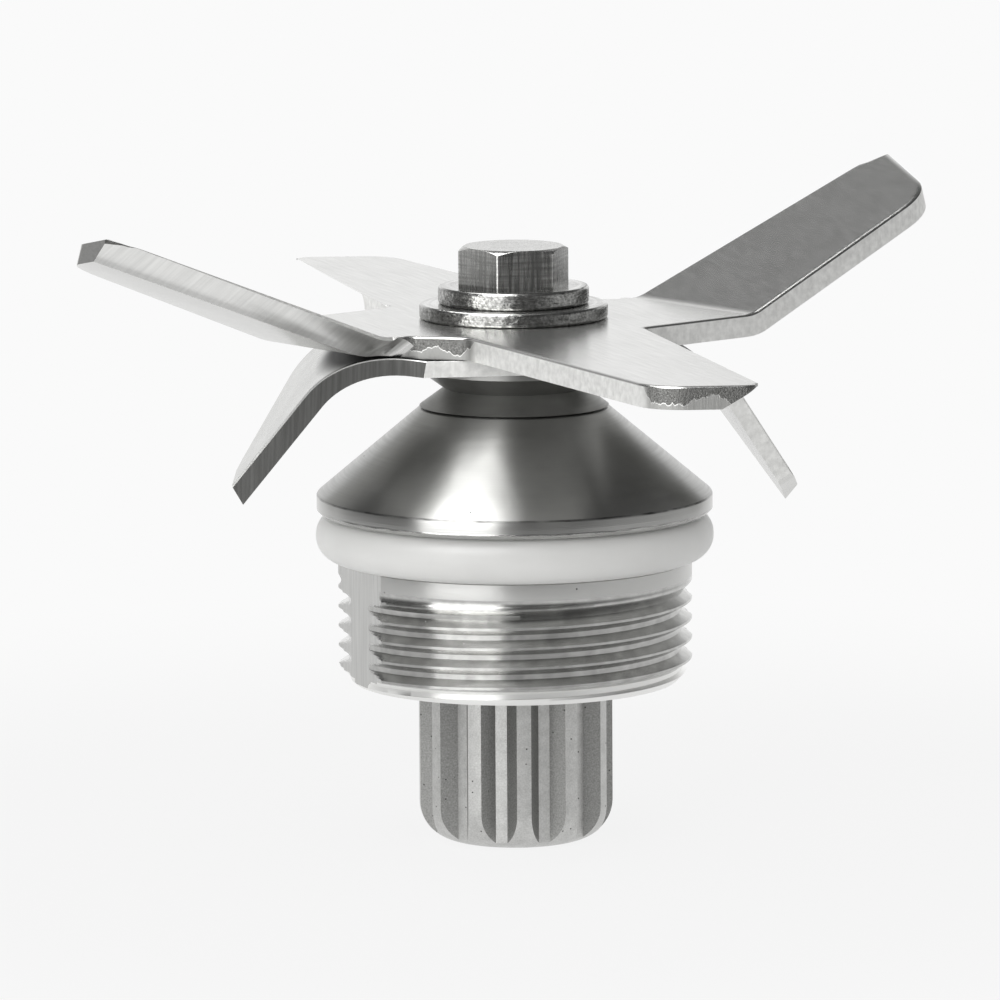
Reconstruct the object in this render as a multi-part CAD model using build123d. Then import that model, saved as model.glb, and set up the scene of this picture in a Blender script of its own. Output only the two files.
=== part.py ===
from build123d import *
from math import cos, radians, sin, tan
import os

# Blender blade assembly: a threaded bearing housing for the bottom of a jar, with a shaft that carries two
# punched blades on top and a splined drive pinion below. Millimetres. Z is the shaft's axis, pointing up.
# The origin is the centre of the pinion's bottom face. The housing's two flats face +X and -X.

# Fits
running_clearance = 0.05
loose_clearance = 0.4
axial_clearance = 0.2
reach = 200.0                    # larger than the whole object, for tools that cut right through

# Drive pinion: sintered, twelve straight teeth, rounded lower end
tooth_count = 12
pinion_tip_diameter = 19.7
pinion_root_diameter = 16.8
tooth_land_width = 1.43
tooth_foot_width = 3.2
tooth_phase = 15.0               # degrees from +X to the first tooth
pinion_length = 17.0
pinion_end_radius = 3.85
pinion_boss_diameter = 16.0
pinion_floor = 3.0               # metal left under the shaft's lower end

# Housing: threaded barrel with two flats, gasket seat, rim and cone
pinion_reach = 16.4              # how far the pinion stands out below the housing
barrel_diameter = 36.0
barrel_length = 12.5
barrel_chamfer = 1.5
flats_width = 33.4               # across the two flats
gasket_seat_diameter = 33.2
gasket_seat_height = 4.8
rim_height = 1.85
rim_chamfer = 0.35
cone_slope = 40.0                # degrees from the horizontal
cone_top_diameter = 19.3

# Gasket: soft ring with a rounded outer edge
gasket_wall = 3.6
gasket_overhang = 0.1            # how far the gasket stands out past the rim
gasket_edge_land = 0.2           # upright part left between the two roundings

# Bearings: two equal deep-groove ball bearings with a shield on each side
bearing_bore = 12.0
bearing_diameter = 28.0
bearing_width = 8.0
ball_diameter = 4.762
ball_pitch_diameter = 20.0
ball_count = 8
inner_ring_diameter = 17.0
outer_ring_bore = 23.2
shield_thickness = 0.4
shield_seat_depth = 0.5          # how far the shield's edge reaches into the outer ring
shield_gap = 0.25
cage_thickness = 1.6
cage_height = 6.0
cage_pocket_clearance = 0.1
spacer_height = 1.4
spacer_wall = 2.0

# Circlip that holds the lower bearing up
circlip_offset = 1.0             # housing foot to the circlip's lower face
circlip_thickness = 1.2
circlip_groove_depth = 0.7
circlip_width = 2.4
circlip_gap = 7.0
circlip_lug_diameter = 3.4
circlip_eye_diameter = 1.5

# Lip seal above the bearings
seal_diameter = 22.0
seal_height = 5.0
seal_case_wall = 0.8
seal_lip_wall = 0.9
seal_web = 1.0
seal_spring_diameter = 1.2

# Shaft
shaft_end_diameter = 10.0        # both ends: in the pinion, and through collar and blades
shaft_seal_diameter = 14.0
shaft_flat_width = 8.0           # across the two flats that turn the blades
shaft_end_recess = 0.3           # the shaft's end stays this far below the blades' top face

# Collar between the housing and the blades, waisted like an hourglass
collar_diameter = 19.2
collar_waist_diameter = 14.2
collar_height = 4.9
collar_slope = 36.0              # degrees from the horizontal

# Blades
lower_blade_thickness = 1.75
upper_blade_thickness = 2.25
blade_keying_clearance = 0.05

# Upper blade, two arms bent up. Angles are seen from above, from +X towards +Y.
up_arm_angle = 18.6
up_arm_rise = 20.5               # degrees
up_arm_lead = 5.0                # axis to the cutting edge
up_arm_trail = 14.1              # axis to the back edge, at the bend
up_root_taper = 3.3              # degrees, back edge to cutting edge inside the bend
up_plate_taper = 8.8             # degrees, the same beyond the bend
up_bend_start = 19.0
up_bend_radius = 4.5             # of the top face
up_plate_length = 35.5
up_tip_slant = 25.6              # degrees off square, so that the cutting corner reaches furthest
up_tip_radius = 8.0
up_nose_length = 3.2             # the cutting edge turns in this far before the tip
up_nose_drop = 0.95              # and by this much
up_nose_radius = 8.0

# Upper blade, two flat arms
flat_arm_angle = -90.0
flat_arm_lead = 10.4             # axis to the cutting edge's line, square to the arm
flat_arm_trail = 11.1            # axis to the back edge's line
flat_arm_taper = 5.83            # degrees, each edge to the arm's own direction
flat_arm_length = 57.0
flat_tip_slant = 15.0
flat_tip_radius = 5.0
flat_nose_radius = 1.5           # cutting corner of the tip

# Where the arms of the upper blade meet
back_notch_radius = 1.5
front_notch_reach = 4.7          # the corner to either end of the straight facet that replaces it
front_notch_radius = 1.9         # both ends of that facet

# Ground bevel under the cutting edges of the upper blade
bevel_width = 3.8
up_bevel_start = 16.6
flat_bevel_start = 22.0
bevel_run_out = 2.2              # radius of the hollow in which the grinding starts

# Lower blade, a strip with two pointed arms bent down
down_arm_angle = -11.2
down_arm_drop = 56.0             # degrees
down_strip_width = 29.2
down_bend_start = 12.3
down_bend_radius = 11.2          # of the top face
down_plate_length = 14.6         # bend to tip, on the arm's own line
down_lead_root = 12.85           # axis to the ground edge, where the bend starts
down_lead_angle = 52.7           # degrees, ground edge to the arm's own direction, seen from above
down_lead_lean = 8.1             # degrees, the ground face looks up
down_trail_root = 15.2           # axis to the back edge, where the bend starts
down_trail_angle = 15.6          # degrees, back edge to the arm's own direction, seen from above
down_trail_lean = 12.1           # degrees, the back face looks down, which is near square to bend and arm
down_tip_slant = 28.4
down_tip_radius = 2.6            # back corner of the tip

# Washers and bolt
lower_washer_diameter = 19.1
lower_washer_thickness = 1.5
upper_washer_diameter = 15.3
upper_washer_thickness = 1.8
washer_bore = 6.4
washer_edge_radius = 0.35
bolt_diameter = 6.0
bolt_length = 16.0
bolt_head_width = 10.0           # across flats
bolt_head_height = 4.0
bolt_head_turn = -6.2            # degrees from +X to the first corner
bolt_head_chamfer = 30.0
bolt_tip_chamfer = 0.8
tapped_hole_spare = 3.0          # depth of the hole below the bolt's tip

# The rim follows the gasket that it covers
rim_diameter = gasket_seat_diameter + 2 * (gasket_wall - gasket_overhang)

# Heights, from the pinion's bottom face upward
housing_foot = pinion_reach
barrel_top = housing_foot + barrel_length
rim_bottom = barrel_top + gasket_seat_height
rim_top = rim_bottom + rim_height
cone_top = rim_top + (rim_diameter - cone_top_diameter) / 2 * tan(radians(cone_slope))
circlip_bottom = housing_foot + circlip_offset
lower_bearing_bottom = circlip_bottom + circlip_thickness
spacer_bottom = lower_bearing_bottom + bearing_width
upper_bearing_bottom = spacer_bottom + spacer_height
bearing_shoulder = upper_bearing_bottom + bearing_width
seal_bottom = bearing_shoulder + loose_clearance
seal_top = seal_bottom + seal_height
collar_bottom = cone_top + axial_clearance
collar_top = collar_bottom + collar_height
lower_blade_top = collar_top + lower_blade_thickness
upper_blade_top = lower_blade_top + upper_blade_thickness
lower_washer_top = upper_blade_top + lower_washer_thickness
upper_washer_top = lower_washer_top + upper_washer_thickness


def turned(*points):
    # A turned solid from its half section, given as (radius, height) points.
    return revolve(Plane.XZ * make_face(Polyline(*points, close=True)), Axis.Z)


def ring(bore, outside, bottom, height):
    top = bottom + height
    return turned((bore / 2, bottom), (outside / 2, bottom), (outside / 2, top), (bore / 2, top))


def about_axis(angle, shape):
    return Rot(0, 0, angle) * shape


def opposite_pair(shape):
    return shape + about_axis(180, shape)


def make_bearing_housing():
    bore = bearing_diameter / 2
    groove = bore + circlip_groove_depth
    barrel = barrel_diameter / 2
    seat = gasket_seat_diameter / 2
    rim = rim_diameter / 2
    seal_seat = seal_diameter / 2
    shaft_hole = shaft_seal_diameter / 2 + loose_clearance
    body = turned(
        (bore, housing_foot),
        (barrel - barrel_chamfer, housing_foot),
        (barrel, housing_foot + barrel_chamfer),
        (barrel, barrel_top),
        (seat, barrel_top),
        (seat, rim_bottom),
        (rim - rim_chamfer, rim_bottom),
        (rim, rim_bottom + rim_chamfer),
        (rim, rim_top),
        (cone_top_diameter / 2, cone_top),
        (shaft_hole, cone_top),
        (shaft_hole, seal_top),
        (seal_seat, seal_top),
        (seal_seat, bearing_shoulder),
        (bore, bearing_shoulder),
        (bore, lower_bearing_bottom),
        (groove, lower_bearing_bottom),
        (groove, circlip_bottom),
        (bore, circlip_bottom),
    )
    beside_flat = Box(reach, reach, barrel_length, align=(Align.MIN, Align.CENTER, Align.MIN))
    return body - opposite_pair(Pos(flats_width / 2, 0, housing_foot) * beside_flat)


def make_jar_gasket():
    section = Pos(gasket_seat_diameter / 2, barrel_top) * Rectangle(
        gasket_wall, gasket_seat_height, align=(Align.MIN, Align.MIN)
    )
    outer_corners = section.vertices().sort_by(Axis.X)[-2:]
    rounded = fillet(outer_corners, (gasket_seat_height - gasket_edge_land) / 2)
    return revolve(Plane.XZ * rounded, Axis.Z)


def make_drive_pinion():
    root = pinion_root_diameter / 2
    tip = pinion_tip_diameter / 2
    foot_distance = (root**2 - (tooth_foot_width / 2) ** 2) ** 0.5
    outer = tip + tooth_land_width
    tooth = make_face(
        Polyline(
            (0, -tooth_foot_width / 2),
            (foot_distance, -tooth_foot_width / 2),
            (tip, -tooth_land_width / 2),
            (outer, -tooth_land_width / 2),
            (outer, tooth_land_width / 2),
            (tip, tooth_land_width / 2),
            (foot_distance, tooth_foot_width / 2),
            (0, tooth_foot_width / 2),
            close=True,
        )
    )
    section = Circle(root)
    for index in range(tooth_count):
        section += Rot(0, 0, tooth_phase + index * 360 / tooth_count) * tooth
    teeth = extrude(section, pinion_length)
    outline = Rectangle(tip, pinion_length, align=(Align.MIN, Align.MIN))
    outline = fillet(outline.vertices().sort_by(Axis.Y)[:2].sort_by(Axis.X)[-1], pinion_end_radius)
    envelope = revolve(Plane.XZ * outline, Axis.Z)
    boss_height = lower_bearing_bottom - pinion_length
    boss = ring(shaft_end_diameter, pinion_boss_diameter, pinion_length, boss_height)
    socket = Pos(0, 0, pinion_floor) * Cylinder(
        shaft_end_diameter / 2, reach, align=(Align.CENTER, Align.CENTER, Align.MIN)
    )
    return (teeth & envelope) - socket + boss


def double_d(diameter, width):
    return Circle(diameter / 2) & Rectangle(reach, width)


def make_drive_shaft():
    journal = bearing_bore / 2
    end = shaft_end_diameter / 2
    seal_seat = shaft_seal_diameter / 2
    shaft_top = upper_blade_top - shaft_end_recess
    lower = turned(
        (0, pinion_floor),
        (end, pinion_floor),
        (end, lower_bearing_bottom),
        (journal, lower_bearing_bottom),
        (journal, bearing_shoulder),
        (seal_seat, bearing_shoulder),
        (seal_seat, collar_bottom),
        (0, collar_bottom),
    )
    key = double_d(shaft_end_diameter, shaft_flat_width)
    upper = Pos(0, 0, collar_bottom) * extrude(key, shaft_top - collar_bottom)
    hole_bottom = upper_washer_top - bolt_length - tapped_hole_spare
    hole = Pos(0, 0, hole_bottom) * Cylinder(
        bolt_diameter / 2 + running_clearance, reach, align=(Align.CENTER, Align.CENTER, Align.MIN)
    )
    return lower + upper - hole


def make_shaft_collar():
    edge = collar_diameter / 2
    waist = collar_waist_diameter / 2
    rise = (edge - waist) * tan(radians(collar_slope))
    waist_height = collar_bottom + rise
    return turned(
        (shaft_end_diameter / 2, collar_bottom),
        (edge, collar_bottom),
        (waist, waist_height),
        (edge, waist_height + rise),
        (edge, collar_top),
        (shaft_end_diameter / 2, collar_top),
    )


def ball_track(bottom):
    track = Torus(ball_pitch_diameter / 2, ball_diameter / 2 + running_clearance)
    return Pos(0, 0, bottom + bearing_width / 2) * track


def make_inner_ring(bottom):
    return ring(bearing_bore, inner_ring_diameter, bottom, bearing_width) - ball_track(bottom)


def make_outer_ring(bottom):
    body = ring(outer_ring_bore, bearing_diameter, bottom, bearing_width) - ball_track(bottom)
    for shield_bottom in shield_bottoms(bottom):
        body -= ring(0, outer_ring_bore + 2 * shield_seat_depth, shield_bottom, shield_thickness)
    return body


def shield_bottoms(bottom):
    return bottom + shield_gap, bottom + bearing_width - shield_gap - shield_thickness


def make_shields(bottom):
    bore = inner_ring_diameter + 2 * shield_gap
    outside = outer_ring_bore + 2 * shield_seat_depth
    return Compound([ring(bore, outside, height, shield_thickness) for height in shield_bottoms(bottom)])


def ball_places(bottom):
    middle = Pos(0, 0, bottom + bearing_width / 2)
    return [middle * place for place in PolarLocations(ball_pitch_diameter / 2, ball_count)]


def make_balls(bottom):
    return Compound([place * Sphere(ball_diameter / 2) for place in ball_places(bottom)])


def make_cage(bottom):
    body = ring(
        ball_pitch_diameter - cage_thickness,
        ball_pitch_diameter + cage_thickness,
        bottom + (bearing_width - cage_height) / 2,
        cage_height,
    )
    pocket = Rot(0, 90, 0) * Cylinder(ball_diameter / 2 + cage_pocket_clearance, 2 * cage_thickness)
    for place in ball_places(bottom):
        body -= place * pocket
    return body


def make_spacer(bore, outside):
    return ring(bore, outside, spacer_bottom, spacer_height)


def make_bearing_circlip():
    # An open ring. Each end carries a lug that stands in from the ring and has an eye for the pliers.
    outside = bearing_diameter / 2 + circlip_groove_depth
    inside = outside - circlip_width
    lug = circlip_lug_diameter / 2
    lug_offset = circlip_gap / 2 + lug / 2
    section = Circle(outside) - Circle(inside)
    section -= Rectangle(circlip_gap, outside, align=(Align.CENTER, Align.MAX))
    eyes = Sketch()
    for side in (-1, 1):
        lug_place = Pos(side * lug_offset, -((inside**2 - lug_offset**2) ** 0.5))
        section += lug_place * Circle(lug)
        eyes += lug_place * Circle(circlip_eye_diameter / 2)
    return Pos(0, 0, circlip_bottom) * extrude(section - eyes, circlip_thickness)


def make_seal_case():
    outside = seal_diameter / 2
    inside = outside - seal_case_wall
    flange_bore = shaft_seal_diameter / 2 + 2 * seal_lip_wall
    return turned(
        (flange_bore, seal_bottom),
        (outside, seal_bottom),
        (outside, seal_top),
        (inside, seal_top),
        (inside, seal_bottom + seal_case_wall),
        (flange_bore, seal_bottom + seal_case_wall),
    )


def make_seal_lip():
    # Rubber bonded on the case's floor. Its sleeve leans in to an edge that runs on the shaft.
    shaft = shaft_seal_diameter / 2 + running_clearance
    sleeve = shaft_seal_diameter / 2 + seal_lip_wall
    floor = seal_bottom + seal_case_wall
    return turned(
        (sleeve, floor),
        (seal_diameter / 2 - seal_case_wall, floor),
        (seal_diameter / 2 - seal_case_wall, floor + seal_web),
        (sleeve + seal_lip_wall, floor + seal_web),
        (sleeve + seal_lip_wall, seal_top - seal_lip_wall),
        (sleeve, seal_top - seal_lip_wall / 2),
        (shaft, seal_top - 2 * seal_lip_wall),
    )


def make_seal_spring():
    middle = shaft_seal_diameter / 2 + 2 * seal_lip_wall + seal_spring_diameter / 2
    height = seal_top - 2 * seal_lip_wall
    return Pos(0, 0, height) * Torus(middle, seal_spring_diameter / 2)


def keyed_hole():
    clearance = 2 * blade_keying_clearance
    return extrude(double_d(shaft_end_diameter + clearance, shaft_flat_width + clearance), reach, both=True)


def bevel_wedge(start, lead):
    # What is ground away under a cutting edge: all that lies outside a plane through the edge. The grinding
    # starts in a hollow, drawn square to that plane with X along the edge and Y out of the metal.
    across = Plane(origin=(0, lead, 0), x_dir=(1, 0, 0), z_dir=(0, bevel_width, upper_blade_thickness))
    outline = Pos(start, 0) * Rectangle(reach, reach, align=(Align.MIN, Align.MIN))
    corner = outline.vertices().sort_by_distance((start, 0, 0))[0]
    return extrude(across * fillet(corner, bevel_run_out), 2 * bevel_width, both=True)


def bevel_section(lead):
    # The same, seen along the edge: a wedge from the edge to below the underside.
    inner = lead - 2 * bevel_width
    outer = lead + bevel_width
    floor = -2 * upper_blade_thickness
    return make_face(Polyline((lead, 0), (inner, floor), (outer, floor), (outer, 0), close=True))


def make_up_arm():
    # One bent arm in its own frame: X along the arm, Y towards the cutting edge, top face at Z = 0.
    thickness = upper_blade_thickness
    rise = radians(up_arm_rise)
    middle = (up_arm_lead - up_arm_trail) / 2
    across = Plane(origin=(up_bend_start, 0, 0), x_dir=(0, 1, 0), z_dir=(1, 0, 0))
    bend_axis = Axis((up_bend_start, 0, up_bend_radius), (0, -1, 0))
    strip = Pos(middle, -thickness / 2) * Rectangle(up_arm_lead + up_arm_trail, thickness)
    bend = revolve(across * strip, bend_axis, up_arm_rise)
    plate_plane = Plane(
        origin=(up_bend_start + up_bend_radius * sin(rise), 0, up_bend_radius * (1 - cos(rise))),
        x_dir=(cos(rise), 0, sin(rise)),
        z_dir=(-sin(rise), 0, cos(rise)),
    )
    slant = tan(radians(up_tip_slant))
    taper = tan(radians(up_plate_taper))
    back_length = (up_plate_length - slant * (up_arm_lead + up_arm_trail)) / (1 - slant * taper)
    nose_start = up_plate_length - up_nose_length
    outline = make_face(
        Polyline(
            (0, up_arm_lead),
            (nose_start, up_arm_lead),
            (up_plate_length - slant * up_nose_drop, up_arm_lead - up_nose_drop),
            (back_length, taper * back_length - up_arm_trail),
            (0, -up_arm_trail),
            close=True,
        )
    )
    outline = fillet(outline.vertices().sort_by(Axis.X)[2], up_tip_radius)
    nose = outline.vertices().sort_by_distance((nose_start, up_arm_lead, 0))[0]
    outline = fillet(nose, up_nose_radius)
    plate = extrude(plate_plane * outline, -thickness)
    section = bevel_section(up_arm_lead)
    along_plate = plate_plane.location * Pos(-up_bend_start, 0, 0) * extrude(across * section, reach)
    ground = revolve(across * section, bend_axis, up_arm_rise) + along_plate
    root_ground = bevel_wedge(up_bevel_start, up_arm_lead)
    return bend + plate, ground + root_ground


def make_upper_blade():
    thickness = upper_blade_thickness
    up_root = make_face(
        Polyline(
            (0, up_arm_lead),
            (up_bend_start, up_arm_lead),
            (up_bend_start, -up_arm_trail),
            (0, -up_arm_trail - up_bend_start * tan(radians(up_root_taper))),
            close=True,
        )
    )
    taper = tan(radians(flat_arm_taper))
    slant = tan(radians(flat_tip_slant))
    tip_lead = flat_arm_lead - taper * flat_arm_length
    back_length = (flat_arm_length - slant * (tip_lead + flat_arm_trail)) / (1 - slant * taper)
    flat_arm = make_face(
        Polyline(
            (0, flat_arm_lead),
            (flat_arm_length, tip_lead),
            (back_length, taper * back_length - flat_arm_trail),
            (0, -flat_arm_trail),
            close=True,
        )
    )
    flat_arm = fillet(flat_arm.vertices().sort_by(Axis.X)[2], flat_tip_radius)
    flat_arm = fillet(flat_arm.vertices().sort_by(Axis.X)[-1], flat_nose_radius)
    outline = opposite_pair(about_axis(up_arm_angle, up_root))
    outline += opposite_pair(about_axis(flat_arm_angle, flat_arm))
    notches = outline.vertices().sort_by(lambda corner: corner.X**2 + corner.Y**2)[:4]
    front_places = [(corner.X, corner.Y, 0) for corner in notches[:2]]
    outline = fillet(notches[2:], back_notch_radius)
    for place in front_places:
        outline = chamfer(outline.vertices().sort_by_distance(place)[0], front_notch_reach)
        outline = fillet(outline.vertices().sort_by_distance(place)[:2], front_notch_radius)
    blade = extrude(outline, -thickness)
    arm, ground = make_up_arm()
    blade += opposite_pair(about_axis(up_arm_angle, arm))
    blade -= opposite_pair(about_axis(up_arm_angle, ground))
    flat_edge = flat_arm_lead * cos(radians(flat_arm_taper))
    flat_ground = bevel_wedge(flat_bevel_start, flat_edge)
    blade -= opposite_pair(about_axis(flat_arm_angle - flat_arm_taper, flat_ground))
    return Pos(0, 0, upper_blade_top) * blade - keyed_hole()


def make_lower_blade():
    # Half of the strip in its own frame: X along the arm, Y towards the cutting edge, top face at Z = 0.
    thickness = lower_blade_thickness
    drop = radians(down_arm_drop)
    flat = Box(down_bend_start, down_strip_width, thickness, align=(Align.MIN, Align.CENTER, Align.MAX))
    across = Plane(origin=(down_bend_start, 0, -thickness / 2), x_dir=(0, 1, 0), z_dir=(1, 0, 0))
    bend_axis = Axis((down_bend_start, 0, -down_bend_radius), (0, 1, 0))
    bend = revolve(across * Rectangle(down_strip_width, thickness), bend_axis, down_arm_drop)
    plate_plane = Plane(
        origin=(down_bend_start + down_bend_radius * sin(drop), 0, -down_bend_radius * (1 - cos(drop))),
        x_dir=(cos(drop), 0, -sin(drop)),
        z_dir=(sin(drop), 0, cos(drop)),
    )
    plate = plate_plane.location * Box(
        2 * down_plate_length, down_strip_width, thickness, align=(Align.MIN, Align.CENTER, Align.MAX)
    )
    beyond = Box(reach, reach, reach, align=(Align.MIN, Align.CENTER, Align.CENTER))
    lead_place = Pos(down_bend_start, down_lead_root, 0)
    lead_cut = lead_place * Rot(0, 0, 90 - down_lead_angle) * Rot(0, -down_lead_lean, 0) * beyond
    trail_place = Pos(down_bend_start, -down_trail_root, 0)
    trail_cut = trail_place * Rot(0, 0, down_trail_angle - 90) * Rot(0, down_trail_lean, 0) * beyond
    tip_cut = plate_plane.location * Pos(down_plate_length, 0, 0) * Rot(0, 0, -down_tip_slant) * beyond
    half = flat + bend + plate - lead_cut - trail_cut - tip_cut
    tip_face = half.faces().sort_by(Axis.Z)[0]
    half = fillet(tip_face.edges().sort_by(Axis.Y)[0], down_tip_radius)
    blade = about_axis(down_arm_angle, opposite_pair(half))
    return Pos(0, 0, lower_blade_top) * blade - keyed_hole()


def make_washer(diameter, thickness, bottom):
    section = Pos(washer_bore / 2, bottom) * Rectangle(
        (diameter - washer_bore) / 2, thickness, align=(Align.MIN, Align.MIN)
    )
    section = fillet(section.vertices().sort_by(Axis.X)[-2:], washer_edge_radius)
    return revolve(Plane.XZ * section, Axis.Z)


def make_hex_bolt():
    head_bottom = upper_washer_top
    corner = bolt_head_width / 2 / cos(radians(30))
    head = extrude(RegularPolygon(corner, 6), bolt_head_height)
    edge_drop = (corner - bolt_head_width / 2) * tan(radians(bolt_head_chamfer))
    cone = turned(
        (0, 0),
        (corner, 0),
        (corner, bolt_head_height - edge_drop),
        (bolt_head_width / 2, bolt_head_height),
        (0, bolt_head_height),
    )
    radius = bolt_diameter / 2
    shank = turned(
        (0, 0),
        (radius, 0),
        (radius, bolt_tip_chamfer - bolt_length),
        (radius - bolt_tip_chamfer, -bolt_length),
        (0, -bolt_length),
    )
    return Pos(0, 0, head_bottom) * (about_axis(bolt_head_turn, head & cone) + shank)


nodes = {
    "hex_bolt": make_hex_bolt(),
    "upper_washer": make_washer(upper_washer_diameter, upper_washer_thickness, lower_washer_top),
    "lower_washer": make_washer(lower_washer_diameter, lower_washer_thickness, upper_blade_top),
    "upper_blade": make_upper_blade(),
    "lower_blade": make_lower_blade(),
    "shaft_collar": make_shaft_collar(),
    "drive_shaft": make_drive_shaft(),
    "drive_pinion": make_drive_pinion(),
    "bearing_housing": make_bearing_housing(),
    "jar_gasket": make_jar_gasket(),
    "shaft_seal_case": make_seal_case(),
    "shaft_seal_lip": make_seal_lip(),
    "shaft_seal_spring": make_seal_spring(),
    "bearing_spacer_inner": make_spacer(bearing_bore, bearing_bore + 2 * spacer_wall),
    "bearing_spacer_outer": make_spacer(bearing_diameter - 2 * spacer_wall, bearing_diameter),
    "bearing_circlip": make_bearing_circlip(),
}
for name, bottom in (("upper", upper_bearing_bottom), ("lower", lower_bearing_bottom)):
    nodes[f"{name}_bearing_inner_ring"] = make_inner_ring(bottom)
    nodes[f"{name}_bearing_outer_ring"] = make_outer_ring(bottom)
    nodes[f"{name}_bearing_shields"] = make_shields(bottom)
    nodes[f"{name}_bearing_balls"] = make_balls(bottom)
    nodes[f"{name}_bearing_cage"] = make_cage(bottom)

os.makedirs("parts", exist_ok=True)
for name, solid in nodes.items():
    export_step(solid, f"parts/{name}.step")
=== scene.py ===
import bpy
import bmesh
from math import acos, ceil, cos, pi, radians, sin, sqrt, tan
from mathutils import Matrix, Quaternion, Vector


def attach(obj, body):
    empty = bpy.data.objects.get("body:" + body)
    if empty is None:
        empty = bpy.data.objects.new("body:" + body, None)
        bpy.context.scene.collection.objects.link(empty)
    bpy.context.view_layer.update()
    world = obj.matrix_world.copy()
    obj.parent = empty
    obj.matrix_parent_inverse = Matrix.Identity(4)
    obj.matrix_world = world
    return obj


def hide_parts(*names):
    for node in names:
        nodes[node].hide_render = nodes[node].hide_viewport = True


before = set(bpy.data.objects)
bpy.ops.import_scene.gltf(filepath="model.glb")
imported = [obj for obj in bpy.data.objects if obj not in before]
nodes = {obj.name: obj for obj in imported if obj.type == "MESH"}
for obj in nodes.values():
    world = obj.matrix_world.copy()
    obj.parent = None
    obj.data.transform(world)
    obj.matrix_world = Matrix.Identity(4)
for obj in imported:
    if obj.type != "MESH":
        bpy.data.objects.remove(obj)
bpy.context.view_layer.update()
scene = bpy.context.scene
scene.view_settings.view_transform = "Standard"
mm = 0.001
print("frame loaded:", len(nodes), "nodes")


# Camera: a long lens a little above the blades, with the jar thread's left flat just in view
cameraValues = {
    "aim": (0, 0, 34.7),      # mm, on the shaft's axis
    "azimuth": -19.8,         # degrees
    "elevation": 8.55,
    "distance": 850,          # mm
    "lens": 301.4,
    "sensor": 36,
    "shiftX": -0.0146,        # the object stands a little right of the middle
    "roll": -0.3,
    "clip": (0.01, 20),       # metres
}


def makeCamera(values):
    turn = radians(values["azimuth"])
    lift = radians(values["elevation"])
    back = Vector((sin(turn) * cos(lift), -cos(turn) * cos(lift), sin(lift)))
    data = bpy.data.cameras.new("camera")
    data.lens = values["lens"]
    data.sensor_width = values["sensor"]
    data.shift_x = values["shiftX"]
    data.clip_start, data.clip_end = values["clip"]
    camera = bpy.data.objects.new("camera", data)
    scene.collection.objects.link(camera)
    camera.location = (Vector(values["aim"]) + back * values["distance"]) * mm
    camera.rotation_mode = "QUATERNION"
    roll = Quaternion((0, 0, 1), radians(values["roll"]))
    camera.rotation_quaternion = (-back).to_track_quat("-Z", "Y") @ roll
    scene.camera = camera


makeCamera(cameraValues)
print("camera set")


def addNode(tree, kind, inputs=None, **settings):
    node = tree.nodes.new("ShaderNode" + kind)
    for key, value in settings.items():
        setattr(node, key, value)
    for name, value in (inputs or {}).items():
        if isinstance(value, bpy.types.Node):
            value = value.outputs[0]
        if isinstance(value, bpy.types.NodeSocket):
            tree.links.new(value, node.inputs[name])
        else:
            node.inputs[name].default_value = value
    return node


def linear(hexColour):
    parts = [int(hexColour[i:i + 2], 16) / 255 for i in (1, 3, 5)]
    return [p / 12.92 if p <= 0.04045 else ((p + 0.055) / 1.055) ** 2.4 for p in parts] + [1]


def startMaterial(name):
    material = bpy.data.materials.new(name)
    material.use_nodes = True
    tree = material.node_tree
    tree.nodes.clear()
    shader = addNode(tree, "BsdfPrincipled")
    addNode(tree, "OutputMaterial", {"Surface": shader})
    return material, tree, shader


# Studio: white backdrop behind and a white table below, a dark room on the camera's side, one panel at the
# front left and two above. Metal sees the room; matt pieces get an even soft light.
studio = {
    "white": "#FAFAFA",
    "softLight": 0.6,         # what matt surfaces get from all round
    "overhead": 0.07,         # dark room seen straight up
    "backdropTop": (0.2, 0.58),      # where the white backdrop ends, as the height of a direction
    "tableEdge": (-0.12, 0.0),       # the same, for the far edge of the table
    # degrees round from the camera, positive to the right: brightness that metal sees above the horizon ...
    "ring": [(-180, 1.15), (-150, 0.95), (-130, 0.75), (-112, 0.25), (-62, 0.09), (-6, 0.07), (16, 0.08),
             (35, 0.16), (60, 0.35), (100, 0.5), (130, 0.62), (155, 0.95), (180, 1.15)],
    # ... and on the table below it
    "table": [(-180, 1.05), (-114, 1.0), (-80, 0.7), (-62, 0.55), (-10, 0.4), (-4, 0.2), (30, 0.18),
              (46, 0.6), (60, 0.85), (110, 0.8), (140, 0.95), (180, 1.05)],
    "panels": {               # metres from the aim: right, away from the camera, up
        "frontPanel": {"place": (-0.381, -0.587, 0.02), "facing": (0.54, 0.84, 0.0), "size": (0.6, 0.75),
                       "radiance": 2.0, "onMatt": True},
        "highPanel": {"place": (-0.289, -0.345, 0.536), "facing": (0.413, 0.493, -0.766), "size": (0.53, 0.5),
                      "radiance": 8.0, "onMatt": False},
        "overheadStrip": {"place": (-0.135, 0.2, 0.62), "facing": (0, 0, -1), "size": (0.27, 0.6),
                          "radiance": 4.0, "onMatt": False},
    },
    "floorRadius": 160,       # mm, the part of the table that takes the shadow
    "floorSides": 96,
    "floorDrop": 0.05,        # mm below the object's foot
    "floorFade": (0.35, 0.97),       # shares of the radius between which the shade fades out
    "floorShade": 0.12,       # how much of its look is lit and shaded
    "floorTone": "#FAFAFA",
    "floorRough": 0.9,
}


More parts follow.
